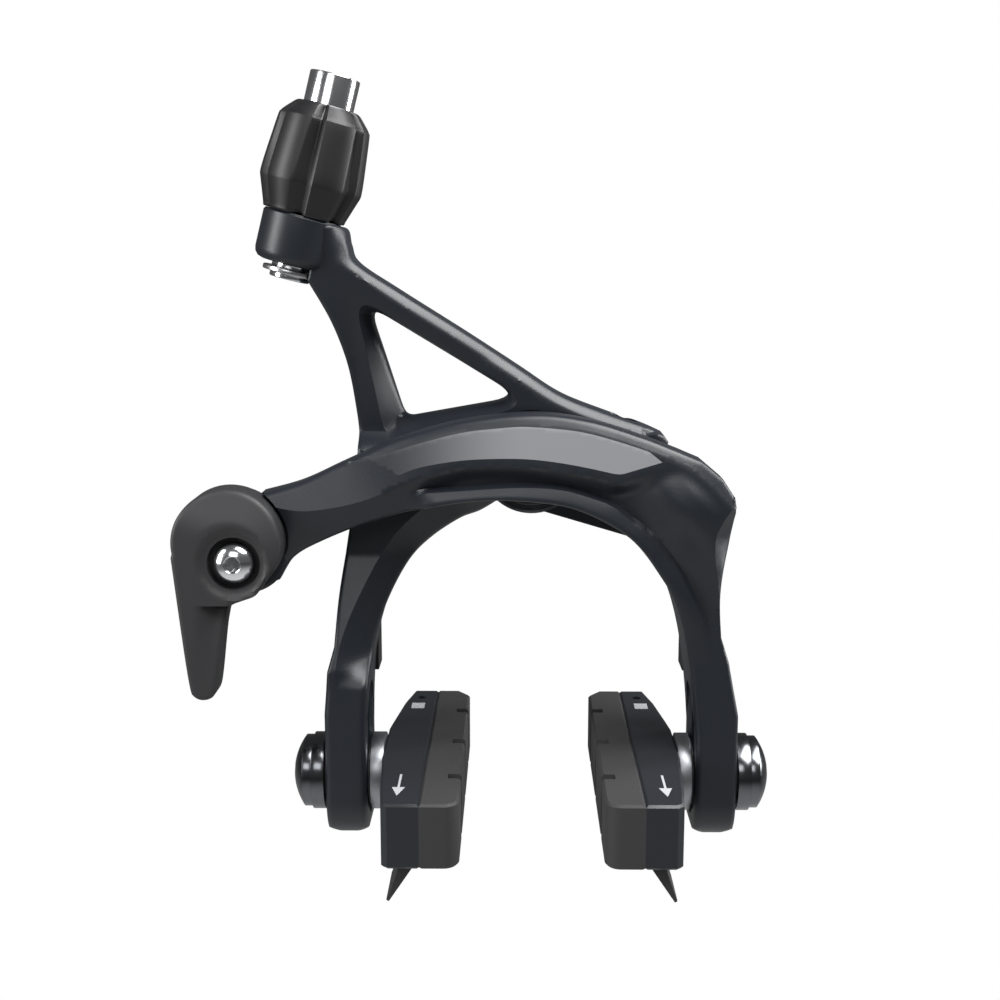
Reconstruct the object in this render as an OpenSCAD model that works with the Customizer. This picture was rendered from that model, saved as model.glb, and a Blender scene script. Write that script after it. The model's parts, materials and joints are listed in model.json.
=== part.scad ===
// Dual pivot rim brake caliper for a road bicycle.
// Frame: +X to the right seen from the front, +Y back towards the fork, +Z up.
// Origin: on the mounting bolt's axis, in the plane of the rear mounting face.

/* [Stance] */
// Drop from the mounting bolt to the pad bolts
reach = 49; // [40:0.5:51]
// Half distance between the inner faces of the two legs
leg_inner = 25.2; // [24:0.1:26.5]
// Thickness of each leg across the slot
leg_wall = 6.4; // [5:0.1:7]
// Depth of each leg, front to back
leg_depth = 13.4; // [12:0.1:14]
// Distance of the legs' middle plane in front of the mounting face
leg_plane = 13; // [12:0.5:14]

/* [Pivots] */
// Sideways place of the side pivot
side_x = 22; // [21:0.5:23]
// Height of the side pivot
side_z = -6; // [-7:0.5:-5]
// Radius of the mounting stud
stud_r = 3; // [2.9:0.1:3]
// Length of the stud behind the mounting face
stud_len = 24; // [18:1:27]

/* [Cable adjuster] */
// Lean of the barrel to the right, in degrees
barrel_lean = 14.5; // [10:0.5:18]
// Outer radius of the barrel tube
barrel_r = 3.7; // [3.4:0.1:3.9]
// Radius of the socket for the cable housing's ferrule
ferrule_r = 2.6; // [2.5:0.05:2.7]
// Number of finger lobes on the knob
knob_lobes = 6; // [5:1:8]

/* [Quick release] */
// Radius of the lever's round head
head_r = 8; // [7.5:0.1:8.2]
// Offset of the anchor bolt from the lever's own axis
eccentric = 3; // [2:0.1:3]
// Radius of the anchor bolt's shank
anchor_r = 2; // [1.8:0.1:2]

/* [Shoes] */
// Length of each shoe
shoe_len = 52; // [48:1:55]
// Height of each shoe
shoe_high = 9.6; // [9:0.1:10.5]
// Distance of each pad's face from the middle
pad_face = 10.3; // [9:0.1:11]
// Thickness of the rubber that shows
rubber = 5.6; // [4:0.1:6]

/* [Hidden] */
$fn = 48;
clear = 0.1;          // gap between faces that turn past each other
running = 0.05;       // radial gap of a shaft in its bush

// Planes from front to back
front_face = -22.5;   // front of the arch
swell_face = -24;     // front of the shoulder, where it swells
arch_back = -16;      // back of the arch
hub_front = -12.2;    // front of the rear arm's hub
hub_back = -6.9;      // back of the rear arm's hub
bracket_front = -6.4;
bracket_back = -3.6;

// Centre pivot: the bolt is thickest in the bush, with a shank behind it and a neck under the nut
shank_r = stud_r + 0.4;
neck_r = stud_r - 0.4;
bush_in = stud_r + 1;
bush_out = stud_r + 2;
hub_r = 7.9;

// Side pivot and the link between the arms
side = [side_x, side_z];
side_r = 4;
side_bush_r = 5;
side_boss_r = 6.2;
link = [11.7, -3.2];
link_bush_r = 1.9;

// Legs
leg_mid = leg_inner + leg_wall / 2;
leg_round = leg_depth / 2;
slot_low = -52;
slot_high = -38;
slot_r = 3.25;
leg_y = -leg_plane;

// Barrel adjuster: place of the boss's upper face and its sizes
boss_top = [-33.9, -12.5, 37];
boss_r = 5.9;
boss_len = 7.4;
thread_r = 3;
seat_r = ferrule_r - 0.2;
seat_low = 9;
seat_high = 0.8;

// Quick release: axis of the lever's head and of the anchor bolt
lever_at = [-44.4, -10];
anchor_dir = -69;
anchor_at = lever_at + eccentric * [cos(anchor_dir), sin(anchor_dir)];
head_front = -26.5;
head_back = -19.8;
end_back = -15;
drum_r = 5.5;

// Pad hardware, measured from the leg's middle plane outwards
cup_gap = 0.4;
stack = 2.4;
washer_r = 6;
lift = 6;
sphere_r = 6.2;
bolt_r = 2.9;
head_low = 3.2;
bolt_head_r = 5.6;
holder_out = leg_inner - stack;
holder_in = pad_face + rubber;

// ---------- helpers ----------

// Outline in X and Z, given thickness from y0 to y1
module slab(y0, y1) translate([0, y1, 0]) rotate([90, 0, 0]) linear_extrude(y1 - y0) children();

// Outline in Y and Z, given thickness from x0 to x1
module side_slab(x0, x1) translate([x0, 0, 0]) rotate([90, 0, 90]) linear_extrude(x1 - x0) children();

// Round bar along Y at a point given in X and Z
module bar_y(at, r, y0, y1) translate([at[0], y1, at[1]]) rotate([90, 0, 0]) cylinder(r = r, h = y1 - y0);

// Round bar along X
module bar_x(y, z, r, x0, x1) translate([x0, y, z]) rotate([0, 90, 0]) cylinder(r = r, h = x1 - x0);

// Smooth curve through points
function blend4(a, b, c, d, t) =
    (2 * b + (c - a) * t + (2 * a - 5 * b + 4 * c - d) * t * t + (3 * b - a - 3 * c + d) * t * t * t) / 2;
function curve(p, n = 5) = let (m = len(p)) [
    for (i = [0:m - 2], k = [0:n - 1])
        blend4(p[max(i - 1, 0)], p[i], p[i + 1], p[min(i + 2, m - 1)], k / n),
    p[m - 1]
];

// Polygon with rounded corners: each point is [x, y, radius]
function unit(v) = v / norm(v);
function xy(p) = [p[0], p[1]];
function corner(a, b, c, r, n = 6) =
    let (u = unit(a - b), v = unit(c - b), half = acos(u * v) / 2, d = r / tan(half))
    [for (k = [0:n]) let (t = k / n)
        (b + u * d) * (1 - t) * (1 - t) + b * 2 * t * (1 - t) + (b + v * d) * t * t];
function rounded(p) = let (m = len(p)) [
    for (i = [0:m - 1]) each
        (p[i][2] == 0 ? [xy(p[i])] : corner(xy(p[(i + m - 1) % m]), xy(p[i]), xy(p[(i + 1) % m]), p[i][2]))
];
// The same along an open line: the first and last points only give directions
function bends(p) = [for (i = [1:len(p) - 2]) each corner(xy(p[i - 1]), xy(p[i]), xy(p[i + 1]), p[i][2])];

// Two circles joined by their outer tangents
module link_plate(a, ra, b, rb) hull() {
    translate(a) circle(ra, $fn = 90);
    translate(b) circle(rb, $fn = 90);
}

module hexagon(flats) circle(r = flats / sqrt(3), $fn = 6);

module mirrored(left) {
    if (left) mirror([1, 0, 0]) children();
    else children();
}

// Places its children on the barrel's axis, with Z along it and zero at the boss's upper face
module on_barrel() translate(boss_top) rotate([0, barrel_lean, 0]) children();

// Slot with round ends, cut along X
module slot_x(y, z0, z1, r, x0, x1) {
    for (z = [z0, z1]) bar_x(y, z, r, x0, x1);
    translate([x0, y - r, z0]) cube([x1 - x0, 2 * r, z1 - z0]);
}

// Slot for the pad bolt, through a leg on the positive side, with a flat seat for its inner washers
module leg_slot() {
    cut = 12;
    seat_deep = 4;
    slot_x(leg_y, -reach, -reach + lift, washer_r + 0.3, leg_inner - seat_deep, leg_inner);
    slot_x(leg_y, slot_low, slot_high, slot_r, leg_inner - cut, leg_inner + cut);
}

// ---------- centre pivot ----------

module mounting_bolt() color("silver") {
    bar_y([0, 0], stud_r, -1, stud_len);
    bar_y([0, 0], shank_r, bracket_front - 0.2, 0);
    bar_y([0, 0], bush_in, hub_front - 0.1, bracket_front);
    bar_y([0, 0], neck_r, -15, hub_front);
}

module serrated_washer() color("dimgray") difference() {
    union() {
        bar_y([0, 0], 5, bracket_back, -0.5);
        bar_y([0, 0], hub_r, -1.1, -0.4);
        for (a = [0:30:330]) rotate([0, a, 0]) translate([5.4, -0.6, -0.5]) cube([2, 0.6, 1]);
        bar_y([0, 0], 4.6, -0.6, 0);
    }
    bar_y([0, 0], shank_r, -5, 1);
}

module pivot_bracket() color("darkslategray") difference() {
    slab(bracket_front, bracket_back) link_plate([0, 0], 7.7, side + [-0.5, -1.5], 6.6);
    bar_y([0, 0], shank_r, bracket_front - 1, 0);
    bar_y(side, 3, bracket_front - 1, 0);
    bar_y(side, 4.4, bracket_back - 1.2, 0);
}

module centre_nut() color("dimgray") difference() {
    union() {
        slab(-15.4, -13.2) hexagon(10);
        bar_y([0, 0], 6.4, -13.2, -12.6);
    }
    bar_y([0, 0], neck_r, -16, -12);
}

module centre_bush() color("darkgoldenrod") difference() {
    bar_y([0, 0], bush_out, hub_front + 0.1, hub_back - 0.1);
    bar_y([0, 0], bush_in + running, hub_front - 1, hub_back + 1);
}

module rear_thrust_washer() color("ivory") difference() {
    bar_y([0, 0], 7.2, hub_back + clear, bracket_front);
    bar_y([0, 0], bush_in, hub_back - 1, bracket_front + 1);
}

module front_thrust_washer() color("ivory") difference() {
    bar_y([0, 0], 6.8, -12.6, hub_front - clear);
    bar_y([0, 0], neck_r, -13, -12);
}

// ---------- side pivot ----------

module side_pivot_bolt() color("silver") difference() {
    union() {
        bar_y(side, 4.3, bracket_back - 1.2, bracket_back - 0.1);
        bar_y(side, 3, bracket_front, bracket_back - 1.2);
        bar_y(side, side_r, -19.4, bracket_front);
    }
    translate([side[0], bracket_back, side[1]]) rotate([90, 0, 0]) linear_extrude(1) hexagon(4);
}

module side_bush() color("darkgoldenrod") difference() {
    bar_y(side, side_bush_r, -19.2, hub_back - 0.1);
    bar_y(side, side_r + running, -20, hub_back + 1);
}

module side_thrust_washer() color("ivory") difference() {
    bar_y(side, 6, hub_back + clear, bracket_front);
    bar_y(side, side_r, hub_back - 1, bracket_front + 1);
}

// ---------- front arm ----------

// Upper edge from the cable anchor to the shoulder, then down the outside of the leg
arch_top = [
    [-40, -3.4], [-34, -1.7], [-27.5, 1.3], [-19.5, 4.8], [-10, 7.4], [0, 8.4], [8, 7.5], [16, 5.1], [21.5, 3]
];
shoulder = [[24.8, 1.6], [28, -1.1], [29.7, -3.7]];
leg_outside = [[30.1, -6.2], [29.6, -10.5], [28.5, -15.5], [28.2, -20], [28.6, -25.5]];
// Lower edge from the leg's inside back to the cable anchor
arch_under = [
    [leg_inner, -42], [24.6, -35], [23.4, -27], [21.6, -20.5], [19.3, -16], [14.4, -9.8],
    [7, -5.7], [0, -4.4], [-8, -4.3], [-16, -5.5], [-24.4, -7.8], [-31.2, -10.6], [-35.5, -13.2], [-38, -17]
];
// Long groove below the ridge
groove_top = [
    [-18, -1], [-11, 0.4], [-3, 0.8], [4.5, 0], [11, -1.2], [18, -2.4], [23.4, -5.5], [26, -12], [26, -19]
];
groove_low = [
    [24, -19.5], [21, -14.8], [16.5, -9.8], [11, -5.6], [4, -2.6], [-3, -1.8], [-11, -2.4], [-18, -4]
];

module front_outline() polygon(concat(
    curve(arch_top), shoulder, curve(leg_outside),
    bends([[28.6, -25.5], [29.9, -29.5, 2], [leg_inner + leg_wall, -38, 4], [leg_inner + leg_wall, -50]]),
    leg_end(),
    curve(arch_under), [[-43, -18.8]], [[-44, -9]]
));

// Lower end of a leg on the positive side, with bevelled corners
function leg_end() = let (low = slot_low - leg_round, cut = 1.7, past = 1, out = leg_inner + leg_wall)
    [
        [out, low + cut], [out - cut - past, low - past],
        [leg_inner + cut + past, low - past], [leg_inner, low + cut]
    ];

// Depth of the front arm seen from the side
module front_depth() polygon(concat(
    [[front_face, 12], [front_face, 3], [swell_face, -3], [swell_face, -13], [leg_y - leg_round, -31]],
    [for (a = [180:12:360]) [leg_y, slot_low] + leg_round * [cos(a), sin(a)]],
    [[leg_y + leg_round, -16], [-8.5, -11], [arch_back, -5], [arch_back, 12]]
));

// The same seen from above: the shoulder swells forward
module shoulder_plan() polygon([
    [14, -5], [14, front_face], [20, swell_face], [27.5, swell_face], [leg_inner + leg_wall, front_face + 1],
    [leg_inner + leg_wall, -5]
]);

module front_arm() color("#2b3138") difference() {
    union() {
        slab(front_face, arch_back) intersection() {
            front_outline();
            translate([-60, -25]) square([80, 40]);
        }
        intersection() {
            slab(swell_face, -5) front_outline();
            side_slab(14, 40) front_depth();
            translate([0, 0, -60]) linear_extrude(75) shoulder_plan();
        }
        bar_y(lever_at, 6.9, head_back + clear, end_back);
        bar_y(lever_at + [1.4, -2], 6.8, head_back + clear, end_back);
        bar_y(side, side_boss_r, -18, hub_back);
    }
    // scoop and bearing for the lever
    bar_y(lever_at, head_r + 0.8, -30, head_back + clear);
    bar_y(lever_at, drum_r + running, -21, -14);
    // blind bore for the side bush
    bar_y(side, side_bush_r, -19.6, 0);
    // pocket for the link
    slab(-19.4, -15) translate(link) rotate(-15.3) union() {
        square([1, 2 * link_bush_r + 0.12], center = true);
        for (s = [-0.5, 0.5]) translate([s, 0]) circle(link_bush_r + 0.06);
    }
    // long groove along the front
    slab(front_face - 3, front_face + 1.3) polygon(concat(curve(groove_top), curve(groove_low)));
    leg_slot();
}

// ---------- rear arm ----------

// Upper edge from the cable boss down to the hub's right end
strut_top = [
    [-31, 35.6], [-27.9, 35.2], [-27.2, 32.7], [-26, 30.1], [-20, 26.1], [-10, 19.8], [-2, 14.6],
    [4.3, 10.5], [11, 7.8],
    [16.6, 5.9], [20, 4.4]
];
// Lower edge of the hub
hub_low = [[16.2, -2.2], [14.4, -6.4], [11.5, -7.4], [7, -4], [0, -4]];
// Inside of the leg, then its outside back up to the boss
rear_inside = [
    [-5, -6.1], [-8, -8], [-11.2, -9.2], [-15.7, -12.2], [-19.3, -16], [-22.6, -22.4], [-24.4, -29],
    [-25, -35.5], [-leg_inner, -42]
];
rear_outside = [
    [-30, -27.5], [-29.4, -20], [-28.2, -12], [-26.9, -4], [-26.4, 3], [-26.9, 9.5],
    [-27.9, 15.5], [-29.9, 21.5], [-33.2, 27.6]
];

module rear_outline() polygon(concat(
    curve(strut_top), [[20.7, 3.4], [20.3, 2.2], [16.5, 1.6]], curve(hub_low),
    curve(rear_inside), [for (i = [3:-1:0]) [-leg_end()[i][0], leg_end()[i][1]]],
    bends([[-leg_inner - leg_wall, -50], [-leg_inner - leg_wall, -38, 4], [-31, -31.2, 2], [-30, -27.5]]),
    curve(rear_outside)
));

// Depth of the rear arm seen from the side
module rear_depth() polygon(concat(
    [[-17, 36], [-14, 16], [-14, -14], [leg_y - leg_round, -31]],
    [for (a = [180:12:360]) [leg_y, slot_low] + leg_round * [cos(a), sin(a)]],
    [[leg_y + leg_round, -31], [hub_back, -15], [hub_back, 16], [-8, 36]]
));

// Opening between strut and leg, and the wider step in front of it
window = [[-25, 24.3, 1.6], [-1.4, 9.9, 1.8], [-19.4, 6.7, 1.8]];
window_step = [[-26.5, 25.7, 2.2], [0.1, 9.1, 2.2], [-22.3, 3.5, 2.6]];

module rear_arm() color("#2b3138") difference() {
    union() {
        intersection() {
            slab(-21, -4) rear_outline();
            side_slab(-40, 22) rear_depth();
        }
        bar_y([0, 0], hub_r, hub_front, hub_back);
        on_barrel() translate([0, 0, -boss_len]) cylinder(r = boss_r, h = boss_len);
    }
    bar_y([0, 0], bush_out, -20, 0);
    bar_y([0, 0], hub_r + 0.4, -20, hub_front);
    slab(-20, 0) polygon(rounded(window));
    slab(-20, -12.4) polygon(rounded(window_step));
    on_barrel() translate([0, 0, -boss_len - 1]) cylinder(r = thread_r + running, h = boss_len + 2);
    on_barrel() translate([0, 0, -boss_len - 5]) cylinder(r = 4.4, h = 5);
    bar_y(link, 1, -16, -8);
    translate([14.2, -9, -1]) cylinder(r = 1.5 + running, h = 12);
    translate([14.2, -9, 5.6]) cylinder(r = 2.1, h = 6);
    mirror([1, 0, 0]) leg_slot();
}

module link_pin() color("silver") bar_y(link, 1, -19, -8);

module link_bush() color("ivory") difference() {
    bar_y(link, link_bush_r, -19, -14.1);
    bar_y(link, 1, -20, -14);
}

module centring_screw() color("silver") difference() {
    translate([14.2, -9, -0.9]) cylinder(r = 1.5, h = 6.3);
    translate([14.2, -9, 3.9]) linear_extrude(2) hexagon(1.5);
}

// ---------- spring ----------

// One wire: up from the left seat, round the spacer and down to the right seat
spring_y = -2.3;
wire_r = 0.8;
spring_loop = 6.1;
spring_left = [[-26.6, -34], [-26.2, -27], [-24.6, -20], [-21, -12], [-14, -4], [-8, 1.6]];
spring_right = [[8.6, -1], [15, -5.5], [21, -12], [24.6, -20], [26.2, -27], [26.6, -34]];
spring_line = concat(
    curve(spring_left, 3),
    [for (a = [140:-25:20]) spring_loop * [cos(a), sin(a)]],
    curve(spring_right, 3)
);

// Round wire along a line in the plane y
module wire(p, y, r, sides = 8) {
    m = len(p);
    points = [for (i = [0:m - 1]) let (t = unit(p[min(i + 1, m - 1)] - p[max(i - 1, 0)]))
        for (k = [0:sides - 1]) let (a = k * 360 / sides)
            [p[i][0] - t[1] * r * cos(a), y + r * sin(a), p[i][1] + t[0] * r * cos(a)]];
    faces = concat(
        [for (i = [0:m - 2], k = [0:sides - 1]) let (n = (k + 1) % sides)
            [i * sides + k, i * sides + n, (i + 1) * sides + n, (i + 1) * sides + k]],
        [[for (k = [0:sides - 1]) sides - 1 - k]],
        [[for (k = [0:sides - 1]) (m - 1) * sides + k]]
    );
    polyhedron(points, faces);
}

module return_spring() color("silver") wire(spring_line, spring_y, wire_r);

module spring_seat(x, z) color("ivory") translate([x, 0, z]) difference() {
    translate([-2.2, leg_y + leg_round, -4]) cube([4.4, 5.4, 8]);
    translate([-1.4, spring_y - 1.1, -5]) cube([2.8, 4, 10]);
}

module spring_seat_left() spring_seat(-26.6, -30.6);
module spring_seat_right() spring_seat(26.6, -30.6);

// ---------- barrel adjuster ----------

module barrel_adjuster() color("gainsboro") on_barrel() difference() {
    union() {
        translate([0, 0, -boss_len - 2.2]) cylinder(r = thread_r, h = boss_len + 8);
        translate([0, 0, 3.2]) cylinder(r = barrel_r, h = 17.4);
    }
    translate([0, 0, seat_low]) cylinder(r = seat_r, h = seat_high);
    translate([0, 0, seat_low + seat_high]) cylinder(r = ferrule_r, h = 15);
    translate([0, 0, -12]) cylinder(r = 1.1, h = 25);
    translate([0, 0, -boss_len - 1.4]) difference() {
        cylinder(r = 4, h = 0.7);
        translate([0, 0, -1]) cylinder(r = 2.4, h = 3);
    }
}

module ferrule_seat() color("black") on_barrel() translate([0, 0, seat_low]) difference() {
    cylinder(r = seat_r, h = seat_high);
    translate([0, 0, -1]) cylinder(r = 1.2, h = 3);
}

module adjuster_knob() color("#1c1d1f") on_barrel() difference() {
    rotate_extrude() polygon([
        [3.05, 0.15], [6, 0.15], [6.3, 0.7], [7.5, 4.2], [7.6, 5], [7.5, 6.6], [6.8, 13.4], [6.3, 14.3],
        [5, 15.6], [4.4, 16.2], [barrel_r + 0.08, 16.2], [barrel_r + 0.08, 3.1], [3.05, 3.1]
    ]);
    // grooves between the lobes, deeper towards the top
    for (a = [0:360 / knob_lobes:359]) rotate(a + 33) translate([8.4, 0, 1.6])
        rotate([0, -4, 0]) cylinder(r = 1.9, h = 18);
}

module barrel_clip() color("silver") on_barrel() translate([0, 0, -boss_len - 1.4]) difference() {
    cylinder(r = 4.2, h = 0.7);
    translate([0, 0, -1]) cylinder(r = 2.4, h = 3);
    translate([0, -1.6, -1]) cube([6, 3.2, 3]);
}

// ---------- quick release ----------

handle = [
    [-51.9, -12, 0], [-50.3, -33.3, 1.7], [-46.7, -33.3, 1.4],
    [-44.7, -19.4, 1.4], [-40.2, -17.3, 0], [-44, -10, 0]
];

module quick_release_lever() color("#26282b") difference() {
    union() {
        bar_y(lever_at, head_r, head_front, head_back);
        slab(head_front + 0.2, head_back - 1) polygon(rounded(handle));
        bar_y(lever_at, drum_r, head_back, end_back - clear);
    }
    bar_y(anchor_at, 3.9, head_front - 1, head_front + 2.6);
    bar_y(anchor_at, anchor_r + running, -30, -10);
}

module anchor_bolt() color("white") difference() {
    union() {
        bar_y(anchor_at, anchor_r, head_front + 1, -8.5);
        translate([anchor_at[0], head_front + 2.4, anchor_at[1]]) rotate([90, 0, 0]) intersection() {
            cylinder(r = 3.05, h = 3);
            translate([0, 0, -1.6]) sphere(r = 3.9);
        }
    }
    slab(head_front - 3, head_front + 1.4) translate(anchor_at) hexagon(2.5);
}

module anchor_washer() color("silver") difference() {
    bar_y(anchor_at, 4.6, end_back + clear, end_back + 1.8);
    bar_y(anchor_at, anchor_r, -16, -12);
    translate(anchor_front()) rotate([0, 8, 0]) translate([0, 0, -8]) cylinder(r = 0.8, h = 16);
}
function anchor_front() = [anchor_at[0] + 3, end_back, anchor_at[1]];

module anchor_nut() color("dimgray") difference() {
    slab(end_back + 1.8, end_back + 5) translate(anchor_at) hexagon(8);
    bar_y(anchor_at, anchor_r, -16, -8);
}

// ---------- brake shoes, drawn on the positive side ----------

// Half of a spherical washer: flat against the leg, domed outwards
module ball_washer() difference() {
    intersection() {
        sphere(r = sphere_r);
        translate([0, 0, leg_wall / 2]) cylinder(r = 5.2, h = 4);
    }
    cylinder(r = 3.35, h = 10);
}

// Matching cup: hollow towards the leg, flat outwards
module cup_washer(r) difference() {
    translate([0, 0, leg_wall / 2 + cup_gap]) cylinder(r = r, h = stack - cup_gap);
    sphere(r = sphere_r + 0.06);
    cylinder(r = bolt_r, h = 10);
}

// Both faces of the leg: turns its child to face inwards and outwards
module both_faces() for (turn = [-90, 90])
    translate([leg_mid, leg_y, -reach]) rotate([0, turn, 0]) children();

module ball_washers(left) color("silver") mirrored(left) both_faces() ball_washer();

module cup_washers(left) color("silver") mirrored(left) both_faces() cup_washer(washer_r);

module pad_bolt(left) color("#55585c") mirrored(left) translate([leg_mid, leg_y, -reach]) rotate([0, 90, 0]) {
    seat = leg_wall / 2 + stack;
    translate([0, 0, -seat - 4.6]) cylinder(r = bolt_r, h = 2 * seat + 4.6);
    difference() {
        intersection() {
            translate([0, 0, seat]) cylinder(r = bolt_head_r, h = head_low);
            translate([0, 0, seat + head_low - 9.5]) sphere(r = 9.5);
        }
        translate([0, 0, seat + 1]) linear_extrude(4) hexagon(4);
    }
}

// Plan of the holder: thickest at the bolt, thinner at both ends
holder_back = [
    [-26, 21.2], [-20, 21.8], [-10, 22.5], [-6.5, 22.8], [6.5, 22.8], [10, 22.4], [20, 21.2], [26, 20]
];

module holder_plan() polygon(concat(
    [for (p = holder_back) [holder_out - 22.8 + p[1], leg_y + p[0] * shoe_len / 52]],
    [[holder_in, leg_y + shoe_len / 2], [holder_in, leg_y - shoe_len / 2]]
));

module shoe_holder(left) color("#2a3036") mirrored(left) difference() {
    translate([0, 0, -reach - shoe_high / 2]) linear_extrude(shoe_high) holder_plan();
    // channel that takes the rubber's rail
    translate([holder_in - 0.1, leg_y - shoe_len / 2 + 2, -reach - 2]) cube([2.1, shoe_len, 4]);
    bar_x(leg_y, -reach, bolt_r + running, holder_in + 1, holder_out + 1);
    translate([holder_in + 2.6, leg_y + shoe_len / 2 - 4, -reach - 10]) cylinder(r = 0.75, h = 20);
    translate([holder_in + 2.6, leg_y + shoe_len / 2 - 4, -reach - shoe_high / 2]) cylinder(r = 1.4, h = 1.4);
}

module brake_pad(left) color("#3a3b3d") mirrored(left) difference() {
    union() {
        translate([pad_face, leg_y - shoe_len / 2, -reach - shoe_high / 2])
            cube([rubber, shoe_len, shoe_high]);
        translate([holder_in - 1, leg_y - shoe_len / 2 + 2, -reach - 2]) cube([3, shoe_len - 2.5, 4]);
    }
    for (y = [-15, 0, 15]) translate([pad_face - 1, leg_y + y - 0.9, -reach - 8]) cube([3, 1.8, 16]);
    translate([holder_in + 2.6, leg_y + shoe_len / 2 - 4, -reach - 10]) cylinder(r = 0.75, h = 20);
}

module pad_screw(left) color("silver") mirrored(left)
    translate([holder_in + 2.6, leg_y + shoe_len / 2 - 4, -reach - shoe_high / 2]) difference() {
        union() {
            cylinder(r = 1.3, h = 1.3);
            cylinder(r = 0.7, h = shoe_high - 1);
        }
        translate([0, 0, -1]) linear_extrude(1.7) hexagon(1.4);
    }

module wheel_guide(left) color("#202326") mirrored(left) {
    low = -reach - shoe_high / 2;
    front = leg_y - shoe_len / 2;
    // a thin fin that leans outwards to a point, below a flat base
    slab(front + 2, front + 11) translate([holder_in, low])
        polygon([[0.9, -0.4], [3.1, -0.4], [4.9, -5.6], [4.5, -5.8]]);
    translate([holder_in + 0.3, front + 2, low - 0.7]) cube([3.2, 12, 0.7]);
}

module ball_washers_left() ball_washers(true);
module ball_washers_right() ball_washers(false);
module cup_washers_left() cup_washers(true);
module cup_washers_right() cup_washers(false);
module pad_bolt_left() pad_bolt(true);
module pad_bolt_right() pad_bolt(false);
module shoe_holder_left() shoe_holder(true);
module shoe_holder_right() shoe_holder(false);
module brake_pad_left() brake_pad(true);
module brake_pad_right() brake_pad(false);
module pad_screw_left() pad_screw(true);
module pad_screw_right() pad_screw(false);
module wheel_guide_left() wheel_guide(true);
module wheel_guide_right() wheel_guide(false);

mounting_bolt();
serrated_washer();
pivot_bracket();
centre_nut();
centre_bush();
rear_thrust_washer();
front_thrust_washer();
side_pivot_bolt();
side_bush();
side_thrust_washer();
front_arm();
rear_arm();
link_pin();
link_bush();
centring_screw();
return_spring();
spring_seat_left();
spring_seat_right();
barrel_adjuster();
adjuster_knob();
barrel_clip();
ferrule_seat();
quick_release_lever();
anchor_bolt();
anchor_washer();
anchor_nut();
ball_washers_left();
ball_washers_right();
cup_washers_left();
cup_washers_right();
pad_bolt_left();
pad_bolt_right();
shoe_holder_left();
shoe_holder_right();
brake_pad_left();
brake_pad_right();
pad_screw_left();
pad_screw_right();
wheel_guide_left();
wheel_guide_right();
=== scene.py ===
import json
import math

import bmesh
import bpy
import numpy as np
from mathutils import Matrix, Vector
from mathutils.geometry import delaunay_2d_cdt


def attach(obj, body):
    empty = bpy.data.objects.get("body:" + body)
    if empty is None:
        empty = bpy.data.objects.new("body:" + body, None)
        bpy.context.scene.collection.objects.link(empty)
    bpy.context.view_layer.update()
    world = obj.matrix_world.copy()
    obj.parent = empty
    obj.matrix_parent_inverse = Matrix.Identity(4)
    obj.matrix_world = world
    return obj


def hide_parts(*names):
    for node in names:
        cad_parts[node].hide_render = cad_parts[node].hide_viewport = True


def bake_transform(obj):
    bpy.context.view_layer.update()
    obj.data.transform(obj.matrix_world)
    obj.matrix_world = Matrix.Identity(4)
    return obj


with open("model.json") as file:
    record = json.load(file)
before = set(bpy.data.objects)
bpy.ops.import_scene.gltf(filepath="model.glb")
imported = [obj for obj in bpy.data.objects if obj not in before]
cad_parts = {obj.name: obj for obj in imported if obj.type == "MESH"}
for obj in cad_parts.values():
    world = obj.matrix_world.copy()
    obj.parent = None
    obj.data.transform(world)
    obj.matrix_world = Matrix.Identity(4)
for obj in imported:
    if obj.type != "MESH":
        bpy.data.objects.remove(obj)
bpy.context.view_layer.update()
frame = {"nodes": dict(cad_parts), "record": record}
MM = 0.001

# ---------- sizes shared with the CAD part, in millimetres ----------

# Legs: X of the inner and outer faces, Y of the middle, radius of the rounded lower end
LEG_IN, LEG_OUT, LEG_Y, LEG_R = 25.2, 31.6, -13.0, 6.7
# Slot for the pad bolt: radius, and Z of its end centres
SLOT_R, SLOT_TOP, SLOT_LOW = 3.25, -38.0, -52.0
# Axes that run along Y, as (x, z)
SIDE = (22.0, -6.0)
LINK = (11.7, -3.2)
LEVER = (-44.4, -10.0)
ANCHOR = (-43.325, -12.801)
LINK_TURN = -15.3
# Barrel: middle of the boss's upper face, lean in degrees, radius of the tube
BOSS_TOP, LEAN, BARREL_R = (-33.9, -12.5, 37.0), 14.5, 3.7
# Lever's head, the arm's end behind it, and the drum that turns in that end
HEAD_R, HEAD_FRONT, HEAD_BACK, END_BACK, DRUM_R = 8.0, -26.5, -19.8, -15.0, 5.5
# Shoes: length, Z of the lower and upper faces, X of the rubber's face and the holder's face
SHOE_LEN, SHOE_LOW, SHOE_TOP = 52.0, -53.8, -44.2
PAD_FACE, HOLDER_IN = 10.3, 15.9

# ---------- camera ----------

AIM = Vector((-4.8, -13.0, -5.6)) * MM
LENS = 50.184
CAMERA_AWAY = 213 * MM
CAMERA_RISE = math.radians(10)
CAMERA_TURN = math.radians(0.66)

camera_data = bpy.data.cameras.new("camera")
camera_data.sensor_width = 36
camera_data.lens = LENS
camera_data.clip_start = 0.01
camera = bpy.data.objects.new("camera", camera_data)
bpy.context.collection.objects.link(camera)
away = Vector((
    math.sin(CAMERA_TURN) * math.cos(CAMERA_RISE),
    -math.cos(CAMERA_TURN) * math.cos(CAMERA_RISE),
    math.sin(CAMERA_RISE),
))
camera.location = AIM + away * CAMERA_AWAY
camera.rotation_euler = (-away).to_track_quat("-Z", "Y").to_euler()
bpy.context.scene.camera = camera

# ---------- small tools ----------


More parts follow.
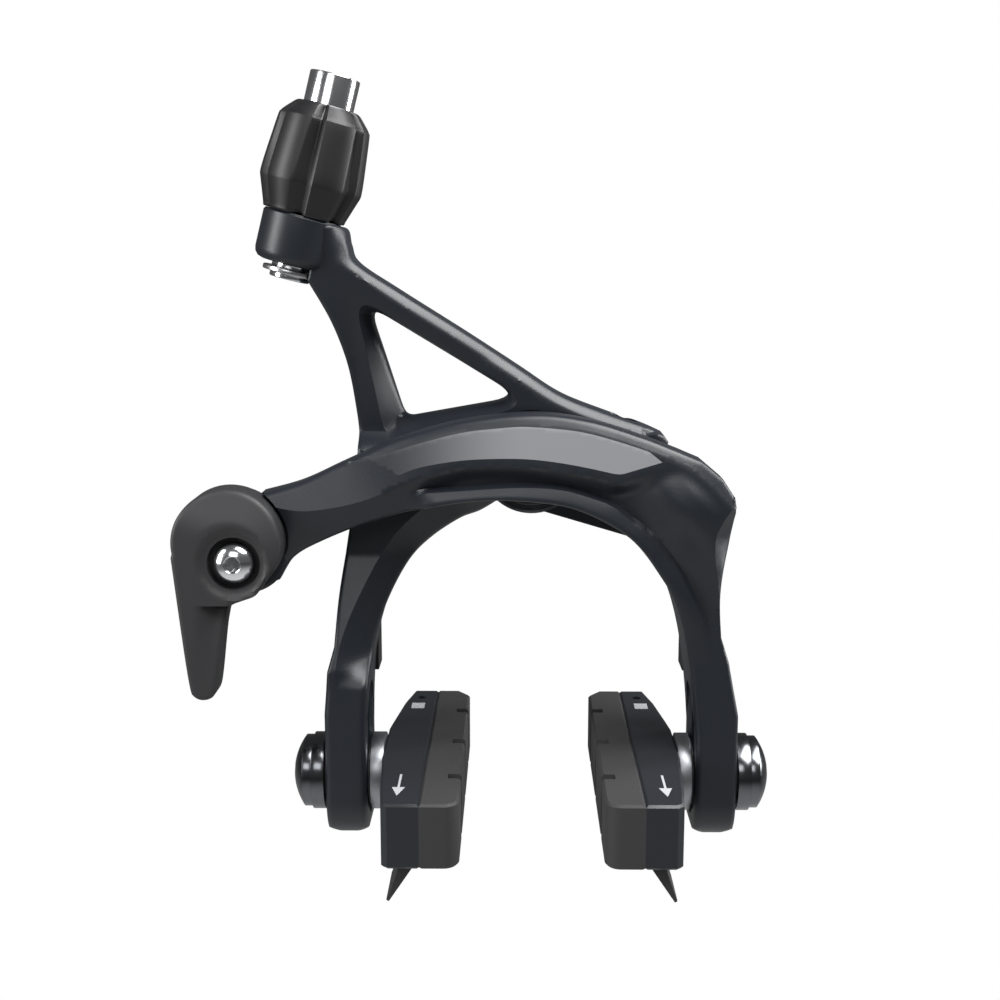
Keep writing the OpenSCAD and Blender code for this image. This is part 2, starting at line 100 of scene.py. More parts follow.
def mesh_object(name, verts, faces):
    """A mesh from points in millimetres."""
    mesh = bpy.data.meshes.new(name)
    mesh.from_pydata([Vector(v) * MM for v in verts], [], faces)
    mesh.validate()
    bm = bmesh.new()
    bm.from_mesh(mesh)
    bmesh.ops.remove_doubles(bm, verts=bm.verts, dist=1e-7)
    bmesh.ops.recalc_face_normals(bm, faces=bm.faces)
    bm.to_mesh(mesh)
    bm.free()
    obj = bpy.data.objects.new(name, mesh)
    bpy.context.collection.objects.link(obj)
    return obj


def smooth(obj, angle=32):
    """Smooth shading, with edges sharper than the angle kept crisp."""
    for polygon in obj.data.polygons:
        polygon.use_smooth = True
    obj.data.set_sharp_from_angle(angle=math.radians(angle))
    return obj


def combine(obj, other, operation="DIFFERENCE"):
    """Cuts, joins or keeps the overlap of two solids, and removes the second."""
    modifier = obj.modifiers.new("combine", "BOOLEAN")
    modifier.operation = operation
    modifier.solver = "EXACT"
    modifier.object = other
    bpy.context.view_layer.update()
    result = bpy.data.meshes.new_from_object(obj.evaluated_get(bpy.context.evaluated_depsgraph_get()))
    obj.modifiers.clear()
    old = obj.data
    obj.data = result
    bpy.data.meshes.remove(old)
    bpy.data.objects.remove(other)
    return obj


def lathe(name, profile, place, sides=64, closed=True):
    """A turned piece: profile is (radius, height) in millimetres, and place sets its axis."""
    verts, faces = [], []
    rows = len(profile)
    for r, h in profile:
        for k in range(sides):
            a = 2 * math.pi * k / sides
            verts.append(place @ Vector((r * math.cos(a), r * math.sin(a), h)))
    for i in range(rows if closed else rows - 1):
        j = (i + 1) % rows
        for k in range(sides):
            n = (k + 1) % sides
            faces.append((i * sides + k, i * sides + n, j * sides + n, j * sides + k))
    return mesh_object(name, verts, faces)


def solid_lathe(name, profile, place, sides=64):
    """A turned solid whose profile starts and ends on the axis."""
    ends = [(0, profile[0][1])] + list(profile) + [(0, profile[-1][1])]
    return lathe(name, ends, place, sides, closed=False)


def along_y(x, z, y=0.0):
    """Puts a turned piece's axis along +Y through a point."""
    return Matrix.Translation((x, y, z)) @ Matrix.Rotation(math.radians(-90), 4, "X")


def along_x(y, z, x=0.0):
    """Puts a turned piece's axis along +X through a point."""
    return Matrix.Translation((x, y, z)) @ Matrix.Rotation(math.radians(90), 4, "Y")


def on_barrel():
    """The barrel's axis, with zero at the boss's upper face."""
    return Matrix.Translation(BOSS_TOP) @ Matrix.Rotation(math.radians(LEAN), 4, "Y")


def extrude(name, outline, place, low, high, chamfer=0.0):
    """A prism over an outline, with chamfered ends."""
    rings = [(low, chamfer), (low + chamfer, 0), (high - chamfer, 0), (high, chamfer)]
    if chamfer == 0:
        rings = [(low, 0), (high, 0)]
    verts, faces = [], []
    n = len(outline)
    for h, inset in rings:
        verts += [place @ Vector((x, y, h)) for x, y in inset_loop(outline, inset)]
    for i in range(len(rings) - 1):
        for k in range(n):
            m = (k + 1) % n
            faces.append((i * n + k, i * n + m, (i + 1) * n + m, (i + 1) * n + k))
    faces.append(tuple(range(n))[::-1])
    faces.append(tuple(range((len(rings) - 1) * n, len(rings) * n)))
    return mesh_object(name, verts, faces)


def area_of(loop):
    """Area inside a closed outline, negative when it runs clockwise."""
    return sum(a[0] * b[1] - b[0] * a[1] for a, b in zip(loop, loop[1:] + loop[:1])) / 2


def inset_loop(loop, inset):
    """The loop moved inwards."""
    if inset == 0:
        return [tuple(p) for p in loop]
    turn = 1 if area_of([tuple(p) for p in loop]) > 0 else -1
    out = []
    n = len(loop)
    for i in range(n):
        before, here, after = (Vector(loop[j % n][:2]) for j in (i - 1, i, i + 1))
        u, v = (here - before).normalized(), (after - here).normalized()
        nu, nv = Vector((-u.y, u.x)) * turn, Vector((-v.y, v.x)) * turn
        half = (nu + nv).normalized()
        out.append(tuple(here + half * inset / max(half.dot(nu), 0.35)))
    return out


def arc(middle, r, angles):
    """Points round a centre, one for each angle in radians."""
    return [(middle[0] + r * math.cos(a), middle[1] + r * math.sin(a)) for a in angles]


def ngon(r, sides, turn=0.0):
    """A regular polygon about the origin."""
    return arc((0, 0), r, [2 * math.pi * k / sides + turn for k in range(sides)])


def stadium(low, high, r, sides=32):
    """A slot outline in (y, z) about y = LEG_Y."""
    half = sides // 2
    top = [(LEG_Y + r * math.cos(math.pi * k / half), high + r * math.sin(math.pi * k / half))
           for k in range(half + 1)]
    bottom = [(LEG_Y - r * math.cos(math.pi * k / half), low - r * math.sin(math.pi * k / half))
              for k in range(half + 1)]
    return top + bottom


def curve(points, n=8):
    """A smooth line through points."""
    p = [Vector(q) for q in points]
    out = []
    for i in range(len(p) - 1):
        a, b, c, d = p[max(i - 1, 0)], p[i], p[i + 1], p[min(i + 2, len(p) - 1)]
        for k in range(n):
            t = k / n
            second, third = 2 * a - 5 * b + 4 * c - d, 3 * b - a - 3 * c + d
            q = 2 * b + (c - a) * t + second * t ** 2 + third * t ** 3
            out.append(tuple(q / 2))
    return out + [tuple(p[-1])]


BEND_STEPS = 8


def bend(a, b, c, r):
    """A rounded corner at b."""
    a, b, c = Vector(a), Vector(b), Vector(c)
    u, v = (a - b).normalized(), (c - b).normalized()
    d = r / math.tan(u.angle(v) / 2)
    p, q = b + u * d, b + v * d
    steps = [k / BEND_STEPS for k in range(BEND_STEPS + 1)]
    return [tuple(p * (1 - t) ** 2 + b * 2 * t * (1 - t) + q * t ** 2) for t in steps]


def rounded(corners):
    """A closed outline with rounded corners: each is (x, z, radius)."""
    out = []
    m = len(corners)
    for i, (x, z, r) in enumerate(corners):
        if r == 0:
            out.append((x, z))
        else:
            out += bend(corners[i - 1][:2], (x, z), corners[(i + 1) % m][:2], r)
    return out


def resample(line, step, closed=False):
    """Points spaced evenly along a line, its corners kept."""
    p = [Vector(q) for q in line] + ([Vector(line[0])] if closed else [])
    out = []
    for a, b in zip(p, p[1:]):
        n = max(1, round((b - a).length / step))
        out += [tuple(a.lerp(b, k / n)) for k in range(n)]
    return out if closed else out + [tuple(p[-1])]


def distance(points, line, closed=False):
    """Distance of each point from a line, in the plane."""
    line = np.array(line)
    a = line if closed else line[:-1]
    b = np.roll(line, -1, axis=0) if closed else line[1:]
    best = np.full(len(points), 1e9)
    for p, q in zip(a, b):
        d = q - p
        size = d @ d
        if size < 1e-12:
            continue
        t = np.clip(((points - p) @ d) / size, 0, 1)[:, None]
        best = np.minimum(best, np.hypot(*(points - p - t * d).T))
    return best


def inside(points, loop):
    """True for each point inside a closed outline."""
    x, z = points.T
    result = np.zeros(len(points), bool)
    for (ax, az), (bx, bz) in zip(loop, loop[1:] + loop[:1]):
        if az == bz:
            continue
        result ^= ((az > z) != (bz > z)) & (x < (bx - ax) * (z - az) / (bz - az) + ax)
    return result


def step_up(value, low, high):
    """Smooth change from 0 to 1."""
    t = np.clip((value - low) / (high - low), 0, 1)
    return t * t * (3 - 2 * t)


def beside(line, offset):
    """A line moved sideways, to its left when the offset is positive."""
    p = [Vector(q) for q in line]
    out = []
    for i, q in enumerate(p):
        along = (p[min(i + 1, len(p) - 1)] - p[max(i - 1, 0)]).normalized()
        out.append(tuple(q + Vector((-along.y, along.x)) * offset))
    return out


# Rows of points that follow each edge of a plate, by their distance from it
EDGE_ROWS = (0.12, 0.3, 0.55, 0.85, 1.2)
CREASE_GAP = 0.3
BACK_ROUND = 0.5


def quarter_round(gap, width):
    """Fall of a rounded edge, from 1 at the edge to 0 at its width."""
    return 1 - np.sqrt(np.clip(1 - (1 - np.clip(gap / width, 0, 1)) ** 2, 0, 1))


def plate(name, outline, holes, front, back, rim, spacing, lines=()):
    """A plate seen from the front. front and back give Y at points (x, z); rim(points) is the radius
    of the front edge's rounding; lines are creases that the mesh follows."""
    loops = [resample(outline, spacing * 0.8, True)] + [resample(h, spacing * 0.7, True) for h in holes]
    coords, edges = [], []
    for loop in loops:
        start = len(coords)
        coords += loop
        edges += [(start + k, start + (k + 1) % len(loop)) for k in range(len(loop))]
    for line in lines:
        line = resample(line, spacing * 0.8)
        start = len(coords)
        coords += line
        edges += [(start + k, start + k + 1) for k in range(len(line) - 1)]
    fixed = np.array(coords)
    extra = []
    for loop in loops:
        for inset in EDGE_ROWS:
            ring = np.array(inset_loop(loop, inset if loop is loops[0] else -inset))
            gap = np.min([distance(ring, l, True) for l in loops], axis=0)
            keep = gap > inset * 0.93
            for line in lines:
                keep &= distance(ring, line) > CREASE_GAP
            extra += [tuple(p) for p in ring[keep]]
    low, high = fixed.min(axis=0), fixed.max(axis=0)
    row = spacing * math.sqrt(3) / 2
    grid = np.array([
        (low[0] + (i + (j % 2) / 2) * spacing, low[1] + j * row)
        for j in range(int((high[1] - low[1]) / row) + 1)
        for i in range(int((high[0] - low[0]) / spacing) + 1)
    ])
    keep = inside(grid, loops[0])
    for hole in loops[1:]:
        keep &= ~inside(grid, hole)
    grid = grid[keep]
    keep = np.min([distance(grid, l, True) for l in loops], axis=0) > EDGE_ROWS[-1] + spacing * 0.4
    for line in lines:
        keep &= distance(grid, line) > spacing * 0.35
    coords += extra + [tuple(p) for p in grid[keep]]
    flat, _, triangles, _, _, _ = delaunay_2d_cdt([Vector(c) for c in coords], edges, [], 0, 1e-6)
    points = np.array([tuple(v) for v in flat])
    triangles = np.array(triangles)
    middle = points[triangles].mean(axis=1)
    keep = inside(middle, loops[0])
    for hole in loops[1:]:
        keep &= ~inside(middle, hole)
    triangles = triangles[keep]
    gap = np.min([distance(points, l, True) for l in loops], axis=0)
    radius = rim(points)
    y_front = front(points[:, 0], points[:, 1]) + radius * quarter_round(gap, radius)
    y_back = back(points[:, 0], points[:, 1]) - BACK_ROUND * quarter_round(gap, BACK_ROUND)
    y_back = np.maximum(y_back, y_front + 0.02)
    n = len(points)
    verts = [(x, y, z) for face in (y_front, y_back) for (x, z), y in zip(points, face)]
    faces = [tuple(t) for t in triangles] + [tuple(t[::-1] + n) for t in triangles]
    count = {}
    for t in triangles:
        for a, b in ((t[0], t[1]), (t[1], t[2]), (t[2], t[0])):
            count[(a, b)] = count.get((a, b), 0) + 1
    for a, b in count:
        if (b, a) not in count:
            faces.append((b, a, a + n, b + n))
    return mesh_object(name, verts, faces)


# ---------- materials ----------


GRAIN_RELIEF = 0.05
PATCH_SIZE = 6


def finish(name, color, roughness, metallic=0.0, grain=0.0, grain_size=0.4, uneven=0.0):
    """A finish with fine grain in its relief and slight unevenness in its gloss."""
    material = bpy.data.materials.new(name)
    material.use_nodes = True
    nodes, links = material.node_tree.nodes, material.node_tree.links
    shader = nodes["Principled BSDF"]
    shader.inputs["Base Color"].default_value = (*color, 1)
    shader.inputs["Metallic"].default_value = metallic
    shader.inputs["Roughness"].default_value = roughness
    place = nodes.new("ShaderNodeTexCoord")
    if grain:
        noise = nodes.new("ShaderNodeTexNoise")
        noise.inputs["Scale"].default_value = 1 / (grain_size * MM)
        noise.inputs["Detail"].default_value = 3
        links.new(place.outputs["Object"], noise.inputs["Vector"])
        bump = nodes.new("ShaderNodeBump")
        bump.inputs["Strength"].default_value = grain
        bump.inputs["Distance"].default_value = GRAIN_RELIEF * MM
        links.new(noise.outputs["Fac"], bump.inputs["Height"])
        links.new(bump.outputs["Normal"], shader.inputs["Normal"])
    if uneven:
        patches = nodes.new("ShaderNodeTexNoise")
        patches.inputs["Scale"].default_value = 1 / (PATCH_SIZE * MM)
        links.new(place.outputs["Object"], patches.inputs["Vector"])
        spread = nodes.new("ShaderNodeMapRange")
        spread.inputs["To Min"].default_value = roughness - uneven
        spread.inputs["To Max"].default_value = roughness + uneven
        links.new(patches.outputs["Fac"], spread.inputs["Value"])
        links.new(spread.outputs["Result"], shader.inputs["Roughness"])
    return material


# Colour, roughness, and what differs from a plain, even finish
FINISHES = {
    "anodised": ((0.011, 0.014, 0.019), 0.38, {"grain": 0.25, "grain_size": 0.35, "uneven": 0.04}),
    "steel": ((0.55, 0.55, 0.56), 0.30, {"metallic": 1.0, "grain": 0.15, "uneven": 0.06}),
    "bright_steel": ((0.80, 0.81, 0.83), 0.17, {"metallic": 1.0, "uneven": 0.03}),
    "dark_chrome": ((0.16, 0.165, 0.175), 0.20, {"metallic": 1.0, "uneven": 0.04}),
    "black_steel": ((0.06, 0.06, 0.065), 0.42, {"metallic": 0.6, "grain": 0.2, "uneven": 0.05}),
    "bronze": ((0.45, 0.30, 0.12), 0.38, {"metallic": 1.0, "grain": 0.2, "uneven": 0.05}),
    "nylon": ((0.66, 0.65, 0.60), 0.5, {"grain": 0.1, "uneven": 0.05}),
    "satin_aluminium": ((0.34, 0.35, 0.37), 0.40, {"metallic": 1.0, "grain": 0.15, "uneven": 0.05}),
    "knob_black": ((0.007, 0.007, 0.008), 0.44, {"grain": 0.12, "grain_size": 0.5, "uneven": 0.04}),
    "lever_black": ((0.024, 0.024, 0.026), 0.52, {"grain": 0.2, "grain_size": 0.35, "uneven": 0.05}),
    "holder_black": ((0.014, 0.016, 0.020), 0.42, {"grain": 0.2, "grain_size": 0.35, "uneven": 0.05}),
    "pad_rubber": ((0.028, 0.028, 0.029), 0.68, {"grain": 0.5, "grain_size": 0.5, "uneven": 0.05}),
    "print_grey": ((0.42, 0.43, 0.45), 0.45, {"grain": 0.1}),
}
LOOKS = {
    name: finish(name, color, roughness, **rest)
    for name, (color, roughness, rest) in FINISHES.items()
}


def dress(obj, look):
    """Gives a new piece its finish."""
    obj.data.materials.clear()
    obj.data.materials.append(LOOKS[look])
    return obj


# ---------- front arm ----------

# Its outline, in pieces that follow one another clockwise
ARCH_TOP = [(-40, -3.4), (-34, -1.7), (-27.5, 1.3), (-19.5, 4.8), (-10, 7.4), (0, 8.4), (8, 7.5), (16, 5.1),
            (21.5, 3)]
SHOULDER = [(24.8, 1.6), (28, -1.1), (29.7, -3.7)]
FRONT_OUTSIDE = [(30.1, -6.2), (29.6, -10.5), (28.5, -15.5), (28.2, -20), (28.6, -25.5)]
ARCH_UNDER = [(25.2, -42), (24.6, -35), (23.4, -27), (21.6, -20.5), (19.3, -16), (14.4, -9.8), (7, -5.7),
              (0, -4.4), (-8, -4.3), (-16, -5.5), (-24.4, -7.8), (-31.2, -10.6), (-35.5, -13.2), (-38, -17)]
LEG_LOW = SLOT_LOW - LEG_R + 0.05
LEG_CUT = 1.7
LEG_END = [(LEG_OUT, LEG_LOW + LEG_CUT), (LEG_OUT - LEG_CUT, LEG_LOW), (LEG_IN + LEG_CUT, LEG_LOW),
           (LEG_IN, LEG_LOW + LEG_CUT)]

# Creases on the front face: the ridge from the tail, then the groove's upper edge to the shoulder's tip
RIDGE = [(-44, -5.2), (-39.6, -4.8), (-34.2, -5.7), (-28.6, -5.1), (-23.7, -3.8), (-19.5, -1.9),
         (-15.5, -0.6)]
GROOVE_EDGE = [(-15.5, -0.6), (-10.5, 0.7), (-4.7, 1.0), (-0.3, 0.8), (4, 0.2), (8.4, -0.5), (12.3, -1.4),
               (14.4, -0.9), (17, 0.1), (19.6, 0.8), (22.3, 0.8), (25.5, -1.6), (29.2, -5.4)]
RIM_EDGE = [(-22.5, -4.4), (-18.5, -3.2), (-15, -2.8), (-10.6, -2.5), (-4.7, -2.1), (-0.3, -2.0),
            (4.1, -2.3), (7.7, -3.2), (11.8, -4.7), (14.6, -6.9), (16.5, -8.3), (19.2, -11),
            (21.9, -14.7), (24.2, -18.9), (26, -23.1), (26.7, -26)]
SIDE_CREASE = [(29.2, -5.4), (27.95, -7.3), (27, -9.5), (27, -12.3), (27.4, -14.8), (27.8, -17.7),
               (28.2, -21)]
# The pale band: its lower edge, its pointed right end, and the bevel above it
BAND_LOW = [(-19.5, -0.4), (-16.3, 0.8), (-10.5, 1.8), (-4.7, 2.1), (-0.3, 2.0), (4, 1.5), (8.4, 0.7),
            (12, -0.1), (13.3, -0.1)]
BAND_TIP, BAND_TOP = (18.9, 1.6), (17, 3.1)
BEVEL = [(-27.5, 1.3), (-23.9, 2.0), (-19.2, 3.4), (-16.3, 4.3), (-10.5, 5.8), (-4.7, 6.5), (-0.4, 6.7),
         (6.9, 6.0), (12.7, 4.5), (17, 3.1), (20, 2.0)]
BAND_LEFT = -23.9
# Y of the foremost face, and the mesh's spacing
ARCH_FACE = -22.3
SPACING = 0.62


def front_outline():
    """Outline of the front arm in (x, z)."""
    knee, leg_top, leg_side = (29.9, -29.5), (LEG_OUT, -38), (LEG_OUT, -50)
    return (
        curve(ARCH_TOP) + SHOULDER + curve(FRONT_OUTSIDE)
        + bend(FRONT_OUTSIDE[-1], knee, leg_top, 2) + bend(knee, leg_top, leg_side, 4)
        + LEG_END
        + curve(ARCH_UNDER) + [(-43, -18.8), (-44, -9)]
    )


def height_of(line, x):
    """Z of a line at each x."""
    line = np.array(line)
    return np.interp(x, line[:, 0], line[:, 1])


def leg_front(z):
    """Front of a leg: flat, then a half round at its lower end."""
    drop = np.clip(SLOT_LOW - z, 0, LEG_R - 1e-3)
    return LEG_Y - np.sqrt(LEG_R ** 2 - drop ** 2)


def leg_back(z):
    """Back of a leg's rounded lower end."""
    drop = np.clip(SLOT_LOW - z, 0, LEG_R - 1e-3)
    return LEG_Y + np.sqrt(LEG_R ** 2 - drop ** 2)


def front_arm_front(x, z):
    """Y of the front arm's sculpted face."""
    points = np.stack([x, z], axis=1)
    edge = curve(RIDGE, 6)[:-1] + curve(GROOVE_EDGE, 6)
    rim, bevel = curve(RIM_EDGE, 6), curve(BEVEL, 6) + [p for p in edge if p[0] > 22.4]
    to_edge, to_rim = distance(points, edge), distance(points, rim)
    above = z > height_of(edge, x)
    under_rim = (z < height_of(rim, x)) & (x < RIM_EDGE[-1][0])
    # above the ridge: a facet that leans back, then the wide bevel along the top
    lean = 0.30 - 0.22 * step_up(x, -28, -14)
    upper = ARCH_FACE + to_edge * lean
    in_bevel = (z > height_of(bevel, x)) & (x > BEVEL[0][0])
    upper += np.where(in_bevel, distance(points, bevel) * 0.42, 0)
    # below it on the left: a facet that leans the other way
    lower = ARCH_FACE + to_edge * 0.34
    # the long groove, between the ridge and the rim, then the shoulder's swelling
    groove = ARCH_FACE + 2.1 * step_up(to_edge, -0.3, 2.5)
    swelling = np.exp(-((x - 22.6) / 6.2) ** 2 - ((z + 5.5) / 7.0) ** 2)
    shoulder = 0.9 - 2.1 * swelling + 1.7 * (1 - step_up(to_rim, 0, 6.5))
    shoulder = ARCH_FACE + shoulder * step_up(to_edge, 0, 2.6)
    right = step_up(x, 10.5, 19.5)
    hollow = groove * (1 - right) + shoulder * right
    left = step_up(x, -19, -14)
    hollow = hollow * left + lower * (1 - left)
    # the rim below the groove is round
    rim_face = ARCH_FACE + 0.75 + 0.9 * right - 0.75 * np.sin(np.clip(to_rim / 2.6, 0, 1) * math.pi / 2)
    rim_face = rim_face * left + lower * (1 - left)
    side = np.where(under_rim, -to_rim, to_rim)
    w = step_up(side, -0.3, 0.3)
    below = rim_face * (1 - w) + hollow * w
    y = np.where(above & (x < 29.6), upper, below)
    # the lens-shaped facet on the right side
    crease = curve(SIDE_CREASE, 6)
    beyond = x > np.interp(-z, [-p[1] for p in crease], [p[0] for p in crease])
    beyond &= (z < SIDE_CREASE[0][1]) & (z > SIDE_CREASE[-1][1])
    y = np.where(beyond, y + 1.1 * distance(points, crease), y)
    leg = step_up(-z, 15, 30)
    return y * (1 - leg) + np.minimum(leg_front(z), 0) * leg


def front_arm_back(x, z):
    """Y of the front arm's back, which is deeper round the side pivot and down the leg."""
    shoulder = step_up(x, 12.5, 16.5)
    behind = -16 + 7.6 * step_up(-z, 4, 11.5) + 2.1 * step_up(-z, 11.5, 16)
    y = -16 * (1 - shoulder) + behind * shoulder
    return np.where(z < SLOT_LOW, leg_back(z), y)


def front_arm_rim(points):
    """Radius of the edge's rounding, larger down the leg."""
    return 0.55 + 0.45 * step_up(-points[:, 1], 24, 34)


def make_front_arm():
    """The arch with its right leg, its bosses and the scoop for the lever."""
    rim, edge = curve(RIM_EDGE, 4), curve(GROOVE_EDGE, 4)
    lines = [
        curve(RIDGE, 4), edge, beside(edge, -0.5), beside(rim, 0.3), beside(rim, -0.3), curve(BEVEL, 4),
        curve(SIDE_CREASE, 4)[1:], curve(BAND_LOW, 4) + [BAND_TIP, BAND_TOP],
    ]
    arm = plate("front_arm_shell", front_outline(), [], front_arm_front, front_arm_back, front_arm_rim,
                SPACING, lines)
    end_low = HEAD_BACK + 0.1
    end_long = END_BACK - end_low
    # the second ring's ends are a hair short, so no two faces lie in one plane
    for (x, z), r, short in ((LEVER, 6.9, 0), ((LEVER[0] + 1.4, LEVER[1] - 2), 6.8, 0.04)):
        ring = [(r - 0.5, short), (r, 0.5), (r, end_long - 0.6), (r - 0.6, end_long - short)]
        combine(arm, solid_lathe("end_ring", ring, along_y(x, z, end_low)), "UNION")
    boss = [(6.2, 0), (6.2, 10.6), (5.7, 11.1)]
    combine(arm, solid_lathe("side_boss", boss, along_y(*SIDE, -18)), "UNION")
    # scoop for the lever's head
    place = along_y(*LEVER, end_low) @ Matrix.Rotation(math.pi, 4, "X")
    flare = [(HEAD_R + 0.15, 0), (HEAD_R + 0.3, 0.4), (HEAD_R + 0.45, 3), (HEAD_R + 0.6, 12)]
    combine(arm, solid_lathe("scoop", flare, place, 96))
    combine(arm, solid_lathe("drum_bore", [(DRUM_R + 0.05, 0), (DRUM_R + 0.05, 7)], along_y(*LEVER, -21)))
    bore = [(5.0, 0), (5.0, 12.2), (5.6, 12.8), (5.6, 16)]
    combine(arm, solid_lathe("side_bore", bore, along_y(*SIDE, -19.6)))
    # slot for the link's roller, a millimetre longer than it is wide
    turned = Matrix.Rotation(math.radians(LINK_TURN), 2)
    around = ngon(2.0, 32, 0.01)
    pocket = [turned @ Vector((x + math.copysign(0.5, x), z)) + Vector(LINK) for x, z in around]
    combine(arm, extrude("link_pocket", [tuple(q) for q in pocket], flat_along_y(), -19.4, -14))
    combine(arm, leg_slot_cutter(1))
    combine(arm, washer_seat_cutter(1))
    return smooth(arm, 30)


def flat_along_y():
    """Takes an outline in (x, z) and a height along Y."""
    return Matrix(((1, 0, 0, 0), (0, 0, 1, 0), (0, 1, 0, 0), (0, 0, 0, 1)))


def flat_along_x():
    """Takes an outline in (y, z) and a height along X."""
    return Matrix(((0, 0, 1, 0), (1, 0, 0, 0), (0, 1, 0, 0), (0, 0, 0, 1)))


def leg_slot_cutter(sign):
    """The slot through a leg, with chamfered edges."""
    chamfer = 0.5
    wide = SLOT_R + chamfer
    rows = [(LEG_IN - 8, wide), (LEG_IN, wide), (LEG_IN + chamfer, SLOT_R), (LEG_OUT - chamfer, SLOT_R),
            (LEG_OUT, wide), (LEG_OUT + 4, wide)]
    loops = [(x, stadium(SLOT_LOW, SLOT_TOP, r, 40)) for x, r in rows]
    verts = [(sign * x, y, z) for x, loop in loops for y, z in loop]
    n = len(loops[0][1])
    faces = [(i * n + k, i * n + (k + 1) % n, (i + 1) * n + (k + 1) % n, (i + 1) * n + k)
             for i in range(len(loops) - 1) for k in range(n)]
    faces += [tuple(range(n)), tuple(range((len(loops) - 1) * n, len(loops) * n))]
    return mesh_object("slot", verts, faces)


def washer_seat_cutter(sign):
    """The flat seat for the inner washers, which stays clear of them by a hair."""
    place = Matrix.Scale(sign, 4, (1, 0, 0)) @ flat_along_x()
    return extrude("seat", stadium(-52.5, -43, 6.3), place, LEG_IN - 4, LEG_IN + 0.02)


# ---------- rear arm ----------

# Its outline, in pieces that follow one another clockwise
STRUT_TOP = [(-31, 35.6), (-27.9, 35.2), (-27.2, 32.7), (-26, 30.1), (-20, 26.1), (-10, 19.8),
             (-2, 14.6), (4.3, 10.5), (11, 7.8), (16.6, 5.9), (20, 4.4)]
HUB_LOW = [(16.2, -2.2), (14.4, -6.4), (11.5, -7.4), (7, -4), (0, -4)]
REAR_INSIDE = [(-5, -6.1), (-8, -8), (-11.2, -9.2), (-15.7, -12.2), (-19.3, -16), (-22.6, -22.4),
               (-24.4, -29), (-25, -35.5), (-25.2, -42)]
REAR_OUTSIDE = [(-30, -27.5), (-29.4, -20), (-28.2, -12), (-26.9, -4), (-26.4, 3), (-26.9, 9.5),
                (-27.9, 15.5), (-29.9, 21.5), (-33.2, 27.6)]
# The window between strut and leg, and the wider step in front of it, with corner radii
WINDOW = [(-25, 24.3, 1.6), (-1.4, 9.9, 1.8), (-19.4, 6.7, 1.8)]
WINDOW_STEP = [(-26.5, 25.7, 2.2), (0.1, 9.1, 2.2), (-22.3, 3.5, 2.6)]
# Creases on the front face, down the leg and along the strut
REAR_RIDGE = [(-8, -2), (-13, -4.2), (-19.5, -9.3), (-23.3, -14.4), (-27.2, -22), (-29.1, -27.3),
              (-29.7, -31)]
STRUT_RIDGE = [(-28.4, 29.8), (-26.6, 28.6), (-20.8, 24.6), (-10.8, 18.3), (-2.8, 13.1), (3.5, 9.1),
               (10, 6.4), (16, 4.6)]


def rear_outline():
    """Outline of the rear arm in (x, z)."""
    leg_side, leg_top, knee = (-LEG_OUT, -50), (-LEG_OUT, -38), (-31, -31.2)
    return (
        curve(STRUT_TOP) + [(20.7, 3.4), (20.3, 2.2), (16.5, 1.6)] + curve(HUB_LOW) + curve(REAR_INSIDE)
        + [(-x, z) for x, z in LEG_END[::-1]]
        + bend(leg_side, leg_top, knee, 4) + bend(leg_top, knee, REAR_OUTSIDE[0], 2)
        + curve(REAR_OUTSIDE)
    )


def rear_arm_front(x, z):
    """Y of the rear arm's front face."""
    points = np.stack([x, z], axis=1)
    y = np.interp(z, [-31, -14, 16, 36], [-19.7, -14, -14, -17])
    y = np.where(z < -31, leg_front(z), y)
    # the strut: its upper side falls away, its lower side curves under
    ridge = curve(STRUT_RIDGE, 4)
    gap = distance(points, ridge)
    over = z > height_of(ridge, x)
    strut = step_up(x, -30, -26) * step_up(z, 2, 5)
    y = np.where(over, y + 0.95 * np.maximum(gap - 0.25, 0) * strut, y + 0.1 * gap ** 1.4 * 0.5 * strut)
    # the step round the window slopes inwards
    step = rounded(WINDOW_STEP)
    y = np.where(inside(points, step), y + 1.35 * distance(points, step, True), y)
    # the leg's inner side falls away from a ridge down to the flat of the leg
    line = curve(REAR_RIDGE, 4)
    inner = (x > np.interp(z, [p[1] for p in line[::-1]], [p[0] for p in line[::-1]])) & (z < -2) & (x < -2)
    fade = step_up(z, -34, -29)
    bevel = 0.85 * distance(points, line) * fade
    return np.where(inner, y + bevel, y)


def rear_arm_back(_, z):
    """Y of the rear arm's back, which depends on the height alone."""
    y = np.interp(z, [-31, -15, 16, 36], [-6.3, -6.9, -6.9, -8])
    return np.where(z < SLOT_LOW, leg_back(z), y)


def rear_arm_rim(points):
    """Radius of the edge's rounding, larger down the leg."""
    return 0.55 + 0.5 * step_up(-points[:, 1], 31, 35)


